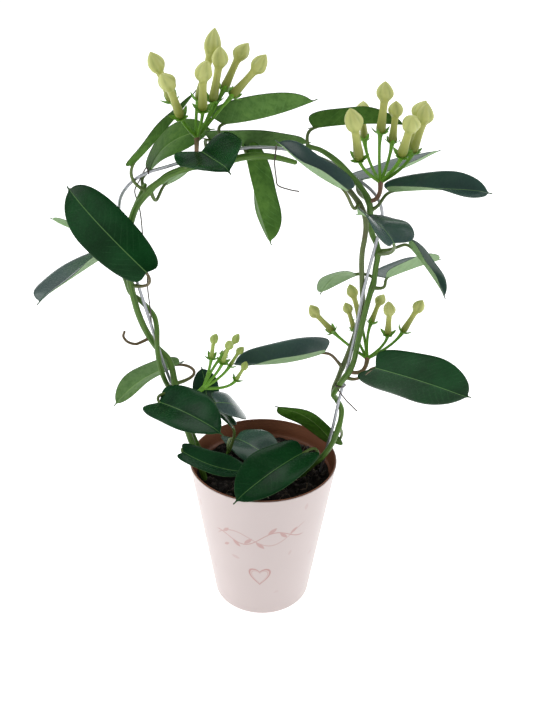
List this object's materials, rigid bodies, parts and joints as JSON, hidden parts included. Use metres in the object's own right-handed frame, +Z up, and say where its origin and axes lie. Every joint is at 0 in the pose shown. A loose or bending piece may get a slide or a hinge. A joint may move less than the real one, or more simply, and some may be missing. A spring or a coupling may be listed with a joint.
{
  "type": "potted madagascar jasmine",
  "caption": "Climbing jasmine with waxy flower buds, trained on a wire hoop in a small tapered pot; stands on its flat base.",
  "frame": {"origin": "centre of the cover pot's underside", "axes": "+Z up; the hoop stands in the XZ plane; -Y is the side that the blooms and big leaves face"},
  "size_m": [0.3317, 0.1332, 0.475],
  "materials": {
    "cover": "satin pale pink with a soft printed pattern",
    "nursery": "matt terracotta brown",
    "soil": "rough, moist and fibrous",
    "wire": "galvanised, dull grey with bright highlights",
    "stem": "smooth green bark",
    "stem_old": "older brown-green bark",
    "tie": "thin dark tie",
    "leaf": "glossy dark green above, matt mid green below",
    "bud": "waxy cream green"
  },
  "bodies": {
    "root": {"cover_pot": "cover", "nursery_pot": "nursery", "soil": "soil", "wire_hoop": "wire", "stem_left": "stem", "stem_left_second": "stem", "stem_right": "stem", "stem_right_second": "stem_old", "stem_basal": "stem", "bare_stalk": "stem_old", "tie_top": "tie", "tie_right": "tie", "tie_left": "tie", "leaf_01": "leaf", "leaf_02": "leaf", "leaf_03": "leaf", "leaf_04": "leaf", "leaf_05": "leaf", "leaf_06": "leaf", "leaf_07": "leaf", "leaf_08": "leaf", "leaf_09": "leaf", "leaf_10": "leaf", "leaf_11": "leaf", "leaf_12": "leaf", "leaf_13": "leaf", "leaf_14": "leaf", "leaf_15": "leaf", "leaf_16": "leaf", "leaf_17": "leaf", "leaf_18": "leaf", "leaf_19": "leaf", "leaf_20": "leaf", "leaf_21": "leaf", "leaf_22": "leaf", "leaf_23": "leaf", "leaf_24": "leaf", "leaf_25": "leaf", "leaf_26": "leaf", "leaf_27": "leaf", "leaf_28": "leaf", "leaf_29": "leaf", "umbel_upper_left": "bud", "umbel_upper_right": "bud", "umbel_lower_right": "bud", "umbel_lower_left": "bud"}
  },
  "joints": []
}
